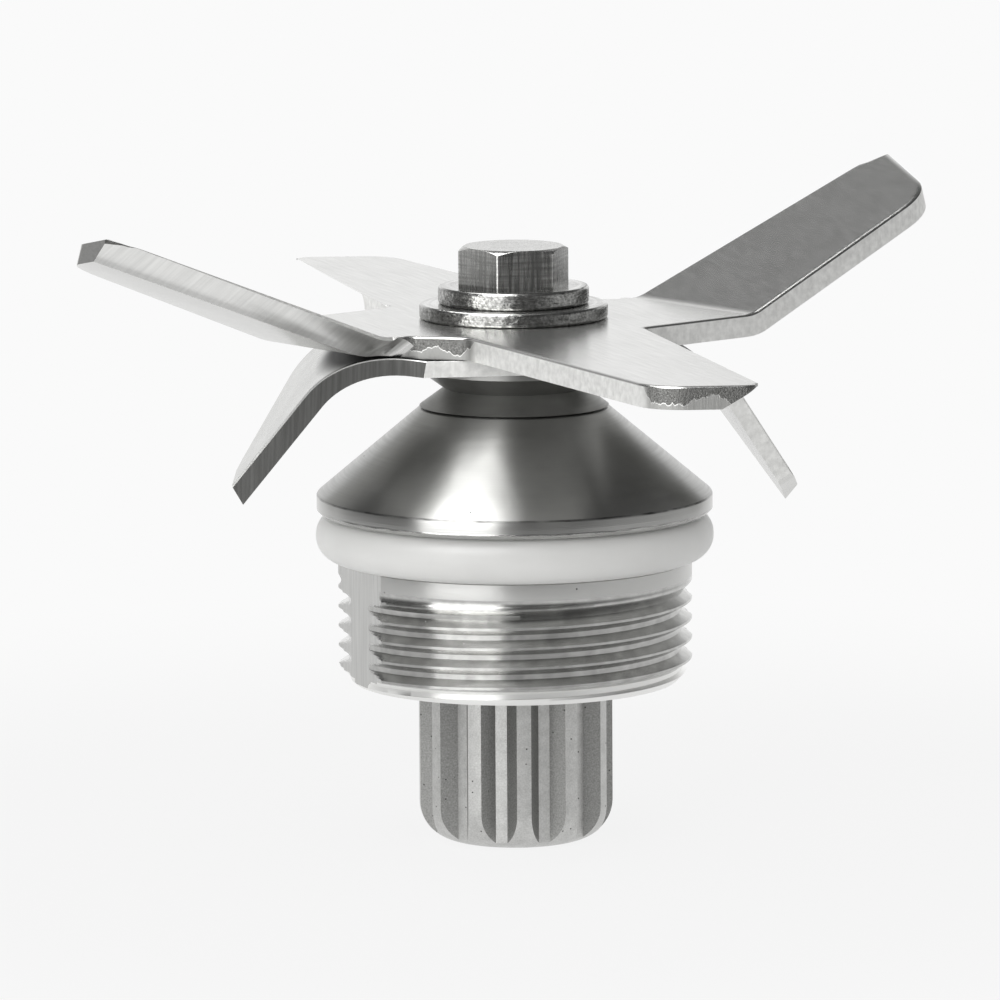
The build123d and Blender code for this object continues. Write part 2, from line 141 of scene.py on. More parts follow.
def makeWorld(values):
    world = bpy.data.worlds.new("studio")
    scene.world = world
    world.use_nodes = True
    tree = world.node_tree
    tree.nodes.clear()
    way = addNode(tree, "TexCoord").outputs["Generated"]
    turn = (0, 0, -radians(cameraValues["azimuth"]))
    turned = addNode(tree, "Mapping", {"Vector": way, "Rotation": turn})
    axes = addNode(tree, "SeparateXYZ", {"Vector": turned}).outputs
    front = addNode(tree, "Math", {0: axes["Y"], 1: -1.0}, operation="MULTIPLY")
    around = addNode(tree, "Math", {0: axes["X"], 1: front}, operation="ARCTAN2")
    share = addNode(tree, "MapRange", {"Value": around, "From Min": -pi, "From Max": pi})
    levels = {}
    for name in ("ring", "table"):
        levels[name] = addNode(tree, "ValToRGB", {"Fac": share})
        stops = levels[name].color_ramp.elements
        while len(stops) < len(values[name]):
            stops.new(0.5)
        for stop, (angle, level) in zip(stops, values[name]):
            stop.position = (angle + 180) / 360
            stop.color = (level, level, level, 1)
    heights = {}
    for name in ("tableEdge", "backdropTop"):
        low, high = values[name]
        heights[name] = addNode(tree, "MapRange", {"Value": axes["Z"], "From Min": low, "From Max": high},
                                interpolation_type="SMOOTHSTEP")
    dark = [values["overhead"]] * 3 + [1]
    lower = addNode(tree, "Mix", {0: heights["tableEdge"], 6: levels["table"], 7: levels["ring"]},
                    data_type="RGBA")
    room = addNode(tree, "Mix", {0: heights["backdropTop"], 6: lower.outputs[2], 7: dark}, data_type="RGBA")
    rays = addNode(tree, "LightPath").outputs
    seen = addNode(tree, "Background", {"Color": room.outputs[2], "Strength": 1.0})
    soft = addNode(tree, "Background", {"Color": (1, 1, 1, 1), "Strength": values["softLight"]})
    plain = addNode(tree, "Background", {"Color": linear(values["white"]), "Strength": 1.0})
    sharp = addNode(tree, "Math", {0: rays["Is Glossy Ray"], 1: rays["Is Transmission Ray"]},
                    operation="MAXIMUM")
    lit = addNode(tree, "MixShader", {0: sharp, 1: soft, 2: seen})
    final = addNode(tree, "MixShader", {0: rays["Is Camera Ray"], 1: lit, 2: plain})
    addNode(tree, "OutputWorld", {"Surface": final})


def makePanel(name, values):
    turn = Matrix.Rotation(radians(cameraValues["azimuth"]), 4, "Z")
    data = bpy.data.lights.new(name, "AREA")
    data.shape = "RECTANGLE"
    data.size, data.size_y = values["size"]
    data.energy = values["radiance"] * pi * data.size * data.size_y
    lamp = bpy.data.objects.new(name, data)
    scene.collection.objects.link(lamp)
    tilt = (-Vector(values["facing"])).to_track_quat("Z", "Y").to_matrix().to_4x4()
    aim = Matrix.Translation(Vector(cameraValues["aim"]) * mm)
    lamp.matrix_world = aim @ turn @ Matrix.Translation(values["place"]) @ tilt
    lamp.visible_camera = False
    lamp.visible_diffuse = values["onMatt"]


def makeFloor(values):
    radius = values["floorRadius"] * mm
    bm = bmesh.new()
    bmesh.ops.create_circle(bm, cap_ends=True, segments=values["floorSides"], radius=radius)
    mesh = bpy.data.meshes.new("floor")
    bm.to_mesh(mesh)
    bm.free()
    floor = bpy.data.objects.new("floor", mesh)
    scene.collection.objects.link(floor)
    floor.location = (0, 0, -values["floorDrop"] * mm)
    material, tree, shader = startMaterial("paleTable")
    shader.inputs["Base Color"].default_value = linear(values["floorTone"])
    shader.inputs["Roughness"].default_value = values["floorRough"]
    shader.inputs["Specular IOR Level"].default_value = 0
    place = addNode(tree, "TexCoord").outputs["Object"]
    gap = addNode(tree, "VectorMath", {0: place}, operation="LENGTH").outputs["Value"]
    # the shaded share fades out towards the rim, so that the table melts into the backdrop
    inner, outer = values["floorFade"]
    share = addNode(tree, "MapRange", {"Value": gap, "From Min": radius * inner, "From Max": radius * outer,
                                       "To Min": 1 - values["floorShade"], "To Max": 1.0},
                    interpolation_type="SMOOTHSTEP")
    rays = addNode(tree, "LightPath").outputs
    shown = addNode(tree, "Math", {0: rays["Is Camera Ray"], 1: rays["Is Glossy Ray"]}, operation="MAXIMUM")
    shown = addNode(tree, "Math", {0: shown, 1: rays["Is Transmission Ray"]}, operation="MAXIMUM")
    factor = addNode(tree, "Math", {0: shown, 1: share}, operation="MULTIPLY")
    glow = addNode(tree, "Emission", {"Color": linear(values["white"]), "Strength": 1.0})
    mixed = addNode(tree, "MixShader", {0: factor, 1: shader, 2: glow})
    tree.links.new(mixed.outputs[0], tree.nodes["Material Output"].inputs["Surface"])
    mesh.materials.append(material)


makeWorld(studio)
for panelName, panelValues in studio["panels"].items():
    makePanel(panelName, panelValues)
makeFloor(studio)
print("studio lit")


# Pieces copied from the solids get their small edge radii as real faces
meshCare = {
    "weld": 0.002,            # mm
    "sameFace": 0.5,          # degrees, flatter joins are taken out
    "crease": 38,             # degrees, steeper edges stay sharp
    "flatWeight": 80,         # how much large faces count in the shading
}


def cleanCopy(node):
    bm = bmesh.new()
    bm.from_mesh(nodes[node].data)
    bmesh.ops.remove_doubles(bm, verts=bm.verts, dist=meshCare["weld"] * mm)
    bmesh.ops.dissolve_limit(bm, angle_limit=radians(meshCare["sameFace"]), verts=bm.verts, edges=bm.edges)
    bm.normal_update()
    return bm


def makePiece(bm, name, node, body):
    bm.verts.index_update()
    mesh = bpy.data.meshes.new(name)
    mesh.from_pydata([v.co[:] for v in bm.verts], [], [[v.index for v in f.verts] for f in bm.faces])
    bm.free()
    mesh.shade_smooth()
    mesh.set_sharp_from_angle(angle=radians(meshCare["crease"]))
    piece = bpy.data.objects.new(name, mesh)
    scene.collection.objects.link(piece)
    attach(piece, body)
    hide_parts(node)
    return piece


def flatShading(piece):
    weighted = piece.modifiers.new("flatFacesStayFlat", "WEIGHTED_NORMAL")
    weighted.keep_sharp = True
    weighted.weight = meshCare["flatWeight"]


edges = {
    "rollWidth": 0.6,         # mm, how far punching pulls the upper blade's top face down along its edges
    "rollDrop": 0.21,
    "rollReach": 1.2,         # times the width: the depth down to which points are pulled
    "honedWidth": 0.36,       # mm, blunt strip along the bent arms' cutting edges
    "crispFrom": 0.3,         # mm, borders of that strip longer than this stay sharp
    "lowerBlade": 0.22,       # mm, radius along the lower blade's top
    "shaftHole": 7.0,         # mm from the axis: the hole for the shaft keeps its edge
    "upright": 0.5,           # a normal that rises less than this belongs to a wall
    "groundTilt": (-0.92, -0.5),     # rise of a ground face's normal
    "shortest": 0.001,        # mm
    "boltCorner": 0.16,       # mm, radius between the bolt head's flats
    "boltTurn": 40,           # degrees, less than the turn from one flat to the next
    "boltUpright": 0.1,
}
# upper blade's top face, to find the depth below it, with the bend of its two bent arms
bladeTop = {"height": 53.42, "angle": 18.6, "bendStart": 19.0, "bendRadius": 4.5, "rise": 20.5,
            "halfWidth": 16.0}


def edgeRises(edge):
    # how far the normals of the two faces at an edge rise, the higher one first
    if len(edge.link_faces) != 2 or edge.calc_length() <= edges["shortest"] * mm:
        return 0, 0
    return sorted((f.normal.z for f in edge.link_faces), reverse=True)


def isPunchedTop(edge):
    high, low = edgeRises(edge)
    return high > edges["upright"] and abs(low) < edges["upright"]


def isCuttingEdge(edge):
    high, low = edgeRises(edge)
    steepest, flattest = edges["groundTilt"]
    return high > edges["upright"] and steepest < low < flattest


def topHeight(point, values):
    # mm, height of the upper blade's top face above a point
    turn, rise = radians(values["angle"]), radians(values["rise"])
    along = abs(point.x * cos(turn) + point.y * sin(turn)) / mm - values["bendStart"]
    across = abs(point.y * cos(turn) - point.x * sin(turn)) / mm
    if along <= 0 or across > values["halfWidth"]:
        return values["height"]
    radius = values["bendRadius"]
    inBend = min(along, radius * sin(rise))
    beyond = along - inBend
    return values["height"] + radius - sqrt(radius ** 2 - inBend ** 2) + beyond * tan(rise)


def isOnBentArm(edge):
    return all(abs(v.co.x) > abs(v.co.y) for v in edge.verts)


def makeBlade(name, node, width, drop=None, honedWidth=0):
    bm = cleanCopy(node)
    sharpEnds = {v for e in bm.edges if isCuttingEdge(e) for v in e.verts}
    hole = edges["shaftHole"] * mm
    punched = [e for e in bm.edges if isPunchedTop(e) and any(v.co.xy.length > hole for v in e.verts)]
    if drop:
        punched = [e for e in punched if not sharpEnds & set(e.verts)]
    old = set(bm.verts)
    bmesh.ops.bevel(bm, geom=punched, offset=width * mm, offset_type="OFFSET", segments=3, profile=0.5,
                    affect="EDGES", clamp_overlap=False)
    if drop:
        for vert in set(bm.verts) - old:
            depth = topHeight(vert.co, bladeTop) * mm - vert.co.z
            if 0 < depth < edges["rollReach"] * width * mm:
                vert.co.z += depth * (1 - drop / width)
    crisp, honed = set(), []
    if honedWidth:
        bm.normal_update()
        cutting = [e for e in bm.edges if isCuttingEdge(e) and isOnBentArm(e)]
        strip = bmesh.ops.bevel(bm, geom=cutting, offset=honedWidth * mm, offset_type="WIDTH", segments=1,
                                profile=0.5, affect="EDGES", clamp_overlap=False)["faces"]
        bm.verts.index_update()
        bm.faces.index_update()
        honed = [f.index for f in strip]
        borders = {e for f in strip for e in f.edges if e.calc_length() > edges["crispFrom"] * mm}
        crisp = {frozenset(v.index for v in e.verts) for e in borders}
    piece = makePiece(bm, name, node, "rotor")
    for edge in piece.data.edges:
        if frozenset(edge.vertices) in crisp:
            edge.use_edge_sharp = True
    for index in honed:
        piece.data.polygons[index].material_index = 1
    flatShading(piece)
    return piece


def makeBolt(radius):
    bm = cleanCopy("hex_bolt")
    corners = [e for e in bm.edges if len(e.link_faces) == 2
               and e.calc_face_angle() > radians(edges["boltTurn"])
               and all(abs(f.normal.z) < edges["boltUpright"] for f in e.link_faces)]
    bmesh.ops.bevel(bm, geom=corners, offset=radius * mm, offset_type="OFFSET", segments=2, profile=0.5,
                    affect="EDGES", clamp_overlap=False)
    piece = makePiece(bm, "hexBolt", "hex_bolt", "rotor")
    flatShading(piece)
    return piece


upperBlade = makeBlade("crossBlade", "upper_blade", edges["rollWidth"],
                       edges["rollDrop"], edges["honedWidth"])
lowerBlade = makeBlade("downturnedBlade", "lower_blade", edges["lowerBlade"])
hexBolt = makeBolt(edges["boltCorner"])
print("blades and bolt:", [len(p.data.polygons) for p in (upperBlade, lowerBlade, hexBolt)], "faces")


# Jar thread: right-hand, 60 degree flanks, run out under the plain band at the top. Values in mm.
housing = {
    "foot": 16.4, "barrelTop": 28.9, "radius": 18.0, "chamfer": 1.5,
    "pitch": 2.0, "crest": 0.25, "root": 0.5, "depth": 1.083, "flankSteps": (0.12, 0.5, 0.94, 1.0),
    "threadTop": 27.2, "crestHeight": 18.35, "crestAngle": -109.8,
    "flat": 16.7,
    "columns": (4, 90, 92),          # in each quarter: on the flat, across the runout and round the barrel
    "runout": (1.5, 0.6),            # degrees that the close columns reach past the runout on each side
    "seat": 16.6, "rimBottom": 33.7, "rim": 20.1, "rimChamfer": 0.35, "rimTop": 35.55, "edgeBreak": 0.12,
    "coneTop": 9.65, "coneTopHeight": 44.318,
    "shaftHole": 7.4, "sealSeat": 11.0, "sealTop": 41.4, "shoulder": 36.0,
    "bore": 14.0, "groove": 14.7, "circlipFrom": 17.4, "circlipTo": 18.6,
}


def flatRadius(values, angle):
    # where a ray at this angle meets the plane of the nearer flat
    return values["flat"] / max(abs(cos(angle)), 1e-6)


def threadColumns(values):
    # columns stand close together where the threads run out on the two flats
    before, after = (radians(a) for a in values["runout"])
    rootFlat = acos(values["flat"] / (values["radius"] - values["depth"])) - before
    nearFlat = acos(values["flat"] / values["radius"]) + after
    stops = [0, rootFlat, nearFlat, pi / 2]
    angles = [quarter * pi / 2 for quarter in range(4)]
    for quarter in range(4):
        for start, end, count in zip(stops, stops[1:], values["columns"]):
            for i in range(count):
                angle = start + (end - start) * i / count
                angles.append(quarter * pi / 2 + (angle if quarter % 2 == 0 else pi / 2 - angle))
    return sorted({round(a % (2 * pi), 9) for a in angles})


def threadedGrid(values, angles):
    # rows follow the helix; each turn has the same profile points
    flank = (values["pitch"] - values["crest"] - values["root"]) / 2
    halfCrest = values["crest"] / 2
    steps = values["flankSteps"]
    profile = [(-halfCrest, 0), (halfCrest, 0)]
    profile += [(halfCrest + flank * s, values["depth"] * s) for s in steps]
    profile += [(halfCrest + flank + values["root"] + flank * (1 - s), values["depth"] * s)
                for s in reversed(steps)]
    turns = ceil((values["threadTop"] - values["foot"]) / values["pitch"]) + 3
    base = values["crestHeight"] - values["pitch"] * radians(values["crestAngle"]) / (2 * pi)
    while base > values["foot"] - values["pitch"] - values["crest"]:
        base -= values["pitch"]
    rows = [(turn * values["pitch"] + height, depth) for turn in range(turns) for height, depth in profile]
    grid = []
    for angle in angles:
        column = []
        for height, depth in rows:
            z = base + height + values["pitch"] * angle / (2 * pi)
            z = min(max(z, values["foot"]), values["threadTop"])
            fade = min(1.0, (values["threadTop"] - z) / values["pitch"])
            chamfered = values["radius"] - values["chamfer"] + (z - values["foot"])
            radius = min(values["radius"] - depth * fade, chamfered, flatRadius(values, angle))
            column.append(Vector((radius * cos(angle), radius * sin(angle), z)) * mm)
        grid.append(column)
    return grid, len(profile)


def housingOutline(values):
    # radius, height and whether the flats cut it: from the thread's top over the cone and down the bore
    e = values["edgeBreak"]
    slope = (values["coneTopHeight"] - values["rimTop"]) / (values["rim"] - values["coneTop"])
    outline = [
        (values["radius"], values["barrelTop"] - e, True),
        (values["radius"] - e, values["barrelTop"], True),
        (values["seat"], values["barrelTop"], False),
        (values["seat"], values["rimBottom"], False),
        (values["rim"] - values["rimChamfer"], values["rimBottom"], False),
        (values["rim"], values["rimBottom"] + values["rimChamfer"], False),
        (values["rim"], values["rimTop"] - e, False),
        (values["rim"] - e, values["rimTop"] + e * slope, False),
    ]
    for step in (0.25, 0.5, 0.75):
        radius = values["rim"] + (values["coneTop"] - values["rim"]) * step
        outline.append((radius, values["rimTop"] + (values["rim"] - radius) * slope, False))
    outline += [
        (values["coneTop"] + e, values["coneTopHeight"] - e * slope, False),
        (values["coneTop"] - e, values["coneTopHeight"], False),
        (values["shaftHole"], values["coneTopHeight"], False),
        (values["shaftHole"], values["sealTop"], False),
        (values["sealSeat"], values["sealTop"], False),
        (values["sealSeat"], values["shoulder"], False),
        (values["bore"], values["shoulder"], False),
        (values["bore"], values["circlipTo"], False),
        (values["groove"], values["circlipTo"], False),
        (values["groove"], values["circlipFrom"], False),
        (values["bore"], values["circlipFrom"], False),
        (values["bore"], values["foot"], False),
    ]
    return outline


def makeThreadedHousing(values):
    angles = threadColumns(values)
    grid, turnRows = threadedGrid(values, angles)
    bm = bmesh.new()
    thread = [[bm.verts.new(point) for point in column] for column in grid]
    last = len(thread[0]) - 1
    count = len(angles)

    def face(*corners):
        corners = [c for i, c in enumerate(corners) if (c.co - corners[i - 1].co).length > 1e-8]
        if len(corners) > 2:
            bm.faces.new(corners)

    def ring(radius, z, cutByFlat):
        found = []
        for angle in angles:
            size = min(radius, flatRadius(values, angle)) if cutByFlat else radius
            found.append(bm.verts.new(Vector((size * cos(angle), size * sin(angle), z)) * mm))
        return found

    for c in range(count):
        shift = 0 if c + 1 < count else turnRows      # after a full turn the helix is one pitch higher
        here, beside = thread[c], thread[(c + 1) % count]
        for r in range(last):
            face(here[r], beside[min(r + shift, last)], beside[min(r + 1 + shift, last)], here[r + 1])
    rings = [[column[last] for column in thread]]
    rings += [ring(*point) for point in housingOutline(values)]
    rings.append([column[0] for column in thread])
    for lower, higher in zip(rings, rings[1:]):
        for c in range(count):
            face(lower[c], lower[(c + 1) % count], higher[(c + 1) % count], higher[c])
    bmesh.ops.remove_doubles(bm, verts=bm.verts, dist=1e-8)
    bmesh.ops.recalc_face_normals(bm, faces=bm.faces)
    return makePiece(bm, "threadedHousing", "bearing_housing", "housing")


threadedHousing = makeThreadedHousing(housing)
print("thread cut:", len(threadedHousing.data.polygons), "faces")


# Materials. Patterns are laid out in mm on each piece, so they turn with it.
def mmSpot(tree):
    place = addNode(tree, "TexCoord").outputs["Object"]
    return addNode(tree, "Mapping", {"Vector": place, "Scale": [1 / mm] * 3})


def axisGap(tree, axes):
    # mm from the shaft's axis
    level = addNode(tree, "CombineXYZ", {"X": axes["X"], "Y": axes["Y"]})
    return addNode(tree, "VectorMath", {0: level}, operation="LENGTH").outputs["Value"]


def turnedSpot(tree):
    # mm, with height and radius folded together: fine steps in Z become lines round the axis
    axes = addNode(tree, "SeparateXYZ", {"Vector": mmSpot(tree)}).outputs
    radiusShare = -0.35
    profile = addNode(tree, "Math", {0: axisGap(tree, axes), 1: radiusShare, 2: axes["Z"]},
                      operation="MULTIPLY_ADD")
    return addNode(tree, "CombineXYZ", {"X": axes["X"], "Y": axes["Y"], "Z": profile})


def normalRise(tree):
    # 1 on faces that look up, 0 on walls, -1 on faces that look down
    facing = addNode(tree, "NewGeometry").outputs["True Normal"]
    return addNode(tree, "SeparateXYZ", {"Vector": facing}).outputs["Z"]


def cloud(tree, spot, sizes, detail=3.0):
    # soft patches of these sizes in mm, about 0 to 1
    place = addNode(tree, "Mapping", {"Vector": spot, "Scale": [1 / s for s in sizes]})
    noise = addNode(tree, "TexNoise", {"Vector": place, "Scale": 1.0, "Detail": detail})
    return addNode(tree, "MapRange", {"Value": noise, "From Min": 0.28, "From Max": 0.72})


def band(tree, value, low, high, soft):
    # 1 between two limits, 0 outside
    rise = addNode(tree, "MapRange", {"Value": value, "From Min": low - soft, "From Max": low + soft})
    fall = addNode(tree, "MapRange", {"Value": value, "From Min": high + soft, "From Max": high - soft})
    return addNode(tree, "Math", {0: rise, 1: fall}, operation="MULTIPLY")


def pits(tree, spot, cell, radius, share):
    # round spots, one in some of the cells of a loose grid
    place = addNode(tree, "Mapping", {"Vector": spot, "Scale": [1 / cell] * 3})
    cells = addNode(tree, "TexVoronoi", {"Vector": place, "Scale": 1.0})
    chosen = addNode(tree, "SeparateColor", {"Color": cells.outputs["Color"]})
    wanted = addNode(tree, "Math", {0: chosen, 1: share}, operation="LESS_THAN")
    disc = band(tree, cells.outputs["Distance"], -1, radius / cell, 0.3 * radius / cell)
    return addNode(tree, "Math", {0: disc, 1: wanted}, operation="MULTIPLY")


def startLook(name, look, metallic=1.0):
    # first layer: two tones in soft patches, and a grain that drives roughness and relief
    material, tree, shader = startMaterial(name)
    spot = turnedSpot(tree) if look.get("turned") else mmSpot(tree)
    patches = cloud(tree, mmSpot(tree), [look["patch"]] * 3)
    grain = cloud(tree, spot, look["grain"], 2.0)
    dark, light = (linear(tone) for tone in look["tones"])
    smooth, rough = look["rough"]
    shader.inputs["Metallic"].default_value = metallic
    return {
        "tree": tree, "shader": shader, "material": material, "grain": grain,
        "colour": addNode(tree, "Mix", {0: patches, 6: dark, 7: light}, data_type="RGBA").outputs[2],
        "rough": addNode(tree, "MapRange", {"Value": grain, "To Min": smooth, "To Max": rough}).outputs[0],
        "relief": [(grain, look["depth"])],
    }


def lay(layers, mask, tones=None, pattern=None, rough=None, relief=None):
    # one more layer where the mask is 1: one tone, or two that a pattern shares out; relief is (pattern, mm)
    tree = layers["tree"]
    if tones:
        if pattern is None:
            tone = linear(tones)
        else:
            dark, light = (linear(t) for t in tones)
            tone = addNode(tree, "Mix", {0: pattern, 6: dark, 7: light}, data_type="RGBA").outputs[2]
        mixed = addNode(tree, "Mix", {0: mask, 6: layers["colour"], 7: tone}, data_type="RGBA")
        layers["colour"] = mixed.outputs[2]
    if rough is not None:
        layers["rough"] = addNode(tree, "Mix", {0: mask, 2: layers["rough"], 3: rough}).outputs[0]
    if relief is not None:
        shape, depth = relief
        height = addNode(tree, "Math", {0: shape, 1: mask}, operation="MULTIPLY")
        layers["relief"].append((height, depth))


def layPits(layers, spots, tone, rough, depth):
    sunk = addNode(layers["tree"], "Math", {0: spots, 1: -1.0}, operation="MULTIPLY")
    lay(layers, spots, tone, None, rough, (sunk, depth))


def endLook(layers):
    tree, shader = layers["tree"], layers["shader"]
    tree.links.new(layers["colour"], shader.inputs["Base Color"])
    tree.links.new(layers["rough"], shader.inputs["Roughness"])
    normal = None
    for height, depth in layers["relief"]:
        inputs = {"Height": height, "Distance": depth * mm, "Strength": 1.0}
        if normal:
            inputs["Normal"] = normal
        normal = addNode(tree, "Bump", inputs)
    tree.links.new(normal.outputs[0], shader.inputs["Normal"])
    return layers["material"]


def dress(piece, *materials):
    piece.data.materials.clear()
    for material in materials:
        piece.data.materials.append(material)


# Blades: cold-rolled stainless sheet. The rolled top is satin; punching leaves rough light walls with upright
# marks, the wheel leaves streaks on the bevels, and metal tears at notches and tips.
bladeLooks = {
    "upper": {
        "tones": ("#CBCBC9", "#D0D0CE"), "patch": 6.0, "rough": (0.22, 0.27), "grain": (0.3, 7.0, 0.3),
        "depth": 0.0003,
        "wall": ("#DCDCDA", "#F4F4F2"), "wallRough": 0.55, "wallRelief": 0.02,
        "ground": ("#DADAD8", "#ECECEA"), "groundRough": 0.3, "hatch": 0.35, "hatchTurn": -18.6,
        "groundRise": (-0.905, -0.6),
    },
    "lower": {
        "tones": ("#CACAC8", "#D4D4D2"), "patch": 3.0, "rough": (0.22, 0.3), "grain": (7.0, 0.3, 0.3),
        "depth": 0.0006,
        "wall": ("#E0E0DE", "#F6F6F4"), "wallRough": 0.6, "wallRelief": 0.012,
        # the lower blade's ground faces are painted far darker than the upper blade's: painted dark
        # reflection of the dark room at the left
        "ground": ("#828280", "#9E9E9C"), "groundRough": 0.36, "hatch": 0.3, "hatchTurn": 30.0,
        "groundRise": (0.1, 0.2),
    },
    "wallRise": 0.45,                # normals of walls rise or fall no more than this
    "shearMarks": (0.22, 0.22, 3.0), "wallBlotch": 0.7,
    "hatchLength": 8.0, "hatchRelief": 0.004,
}
tornMetal = {
    # x, y and reach in mm, and how deep
    "places": [(12.5, 12.1, 4.4, 1.0), (-12.5, -12.1, 4.4, 1.0), (0, 55.5, 6.8, 1.25), (0, -55.5, 6.8, 1.25),
               (-50.5, -17.0, 8.0, 1.0)],
    "fade": 1.0,
    "waves": (3.0, 3.0, 40.0), "waveDepth": (0.8, 1.8),        # mm, of the line where the tear ends
    "jags": (0.5, 0.5, 9.0), "jagDepth": 0.22,
    "wallTone": "#A8A8A6", "wallRough": 0.65,
    "grit": 0.14,                    # mm; the real grain is finer and wouldn't show
    "gritTones": ("#5A5A58", "#8E8E8C"), "gritRough": 0.5, "gritRelief": 0.025,
    # lip: a painted highlight, a thin light line along the jagged line
    "lip": (0.02, 0.09), "lipHighlightTone": "#E6E6E4", "lipRough": 0.3,
}
# painted shade in the gap under the upper blade: radii in mm, dark tone, roughness, and how far a normal must
# rise
paintedGapShade = {"radius": (18.2, 20.4), "tone": "#141414", "rough": 0.5, "upward": 0.5}

# Honed stainless: the stone leaves a narrow strip along the cutting edge; its tone is painted darker than the
# ground face, a painted dark reflection of the room in front
honedPaintedDarkLook = {
    "tones": ("#5E5E5C", "#767674"), "patch": 2.0, "rough": (0.26, 0.36), "grain": (0.3, 0.3, 0.3),
    "depth": 0.002,
}


def layTornMetal(layers, torn, wall):
    # dark and grainy from the top edge down to a jagged line, with a painted highlight along that line, on a
    # dulled wall
    tree = layers["tree"]
    spot = mmSpot(tree)
    axes = addNode(tree, "SeparateXYZ", {"Vector": spot}).outputs
    level = addNode(tree, "CombineXYZ", {"X": axes["X"], "Y": axes["Y"]})
    near = 0.0
    for x, y, reach, deep in torn["places"]:
        gap = addNode(tree, "VectorMath", {0: level, 1: (x, y, 0)}, operation="DISTANCE").outputs["Value"]
        here = addNode(tree, "MapRange", {"Value": gap, "From Min": reach, "From Max": reach - torn["fade"],
                                          "To Max": deep})
        near = addNode(tree, "Math", {0: near, 1: here}, operation="MAXIMUM")
    least, most = torn["waveDepth"]
    waves = addNode(tree, "MapRange", {"Value": cloud(tree, spot, torn["waves"], 0.0), "To Min": least,
                                       "To Max": most})
    jags = addNode(tree, "MapRange", {"Value": cloud(tree, spot, torn["jags"]), "To Min": -torn["jagDepth"],
                                      "To Max": torn["jagDepth"]})
    line = addNode(tree, "Math", {0: waves, 1: jags}, operation="ADD")
    line = addNode(tree, "Math", {0: line, 1: near}, operation="MULTIPLY")
    depth = addNode(tree, "Math", {0: bladeTop["height"], 1: axes["Z"]}, operation="SUBTRACT")
    below = addNode(tree, "Math", {0: depth, 1: line}, operation="SUBTRACT")
    nearWall = addNode(tree, "Math", {0: near, 1: wall}, operation="MULTIPLY")
    lay(layers, nearWall, torn["wallTone"], None, torn["wallRough"])
    farAbove = -20       # mm, higher than any arm
    above = band(tree, below, farAbove, 0, 0.04)
    above = addNode(tree, "Math", {0: above, 1: nearWall}, operation="MULTIPLY")
    grit = cloud(tree, spot, [torn["grit"]] * 3)
    lay(layers, above, torn["gritTones"], grit, torn["gritRough"], (grit, torn["gritRelief"]))
    # painted highlight: a thin light line along the jagged line
    lip = band(tree, below, *torn["lip"], 0.03)
    lip = addNode(tree, "Math", {0: lip, 1: nearWall}, operation="MULTIPLY")
    lay(layers, lip, torn["lipHighlightTone"], None, torn["lipRough"])


def layPaintedGapShade(layers, paintedShade, rise):
    # painted shade: a dark tone on the lower blade's top in the gap under the upper blade, where shade falls
    tree = layers["tree"]
    axes = addNode(tree, "SeparateXYZ", {"Vector": mmSpot(tree)}).outputs
    inner, outer = paintedShade["radius"]
    close = addNode(tree, "MapRange", {"Value": axisGap(tree, axes), "From Min": outer, "From Max": inner},
                    interpolation_type="SMOOTHSTEP")
    upward = addNode(tree, "Math", {0: rise, 1: paintedShade["upward"]}, operation="GREATER_THAN")
    mask = addNode(tree, "Math", {0: close, 1: upward}, operation="MULTIPLY")
    lay(layers, mask, paintedShade["tone"], None, paintedShade["rough"])


def makeBladeSteel(name, look, torn=None, paintedShade=None):
    layers = startLook(name, look)
    tree = layers["tree"]
    spot = mmSpot(tree)
    rise = normalRise(tree)
    wall = band(tree, rise, -bladeLooks["wallRise"], bladeLooks["wallRise"], 0.05)
    marks = cloud(tree, spot, bladeLooks["shearMarks"])
    blotches = cloud(tree, spot, [bladeLooks["wallBlotch"]] * 3)
    lay(layers, wall, look["wall"], blotches, look["wallRough"], (marks, look["wallRelief"]))

    # streaks left by the wheel, square to the edge
    ground = band(tree, rise, *look["groundRise"], 0.004)
    turn = (0, 0, radians(look["hatchTurn"]))
    turned = addNode(tree, "Mapping", {"Vector": spot, "Rotation": turn})
    hatch = cloud(tree, turned, (look["hatch"], bladeLooks["hatchLength"], bladeLooks["hatchLength"]))
    lay(layers, ground, look["ground"], hatch, look["groundRough"], (hatch, bladeLooks["hatchRelief"]))
    if torn:
        layTornMetal(layers, torn, wall)
    if paintedShade:
        layPaintedGapShade(layers, paintedShade, rise)
    return endLook(layers)


dress(upperBlade, makeBladeSteel("coldRolledStainlessUpper", bladeLooks["upper"], torn=tornMetal),
      endLook(startLook("honedStainlessPaintedDark", honedPaintedDarkLook)))
dress(lowerBlade, makeBladeSteel("coldRolledStainlessLower", bladeLooks["lower"], paintedShade=paintedGapShade))
print("blades dressed")


